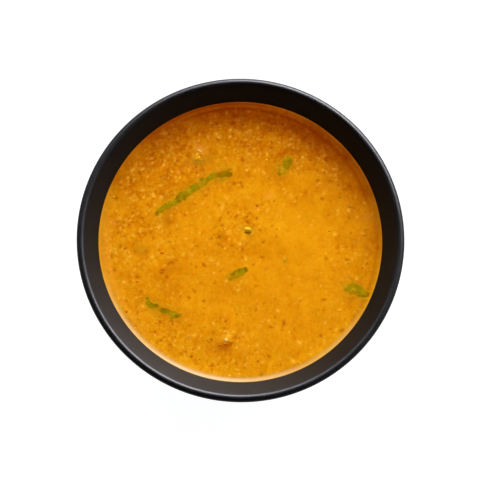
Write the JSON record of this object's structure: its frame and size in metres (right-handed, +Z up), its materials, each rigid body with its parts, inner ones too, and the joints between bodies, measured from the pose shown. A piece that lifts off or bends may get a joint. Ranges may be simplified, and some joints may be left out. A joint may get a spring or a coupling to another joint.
{
  "type": "bowl of sambar",
  "caption": "Round matte black stoneware bowl filled nearly to the lip with yellow-orange sambar, a thick speckled lentil soup with slivers of green herb in its surface.",
  "frame": {"origin": "centre of the bowl's foot, in the plane that it rests on", "axes": "+Z up along the bowl's axis of turning, +Y towards the top of the picture, +X towards its right"},
  "size_m": [0.15, 0.15, 0.055],
  "materials": {
    "stoneware": "satin",
    "stew": "satin",
    "herb": "satin",
    "spice_dark": "satin",
    "lentil": "satin"
  },
  "bodies": {
    "root": {"bowl": "stoneware", "sambar": "stew", "green_sliver": "herb", "green_leaf_right": "herb", "green_stem_left": "herb", "green_leaf_centre": "herb", "green_leaf_far": "herb"}
  },
  "joints": []
}
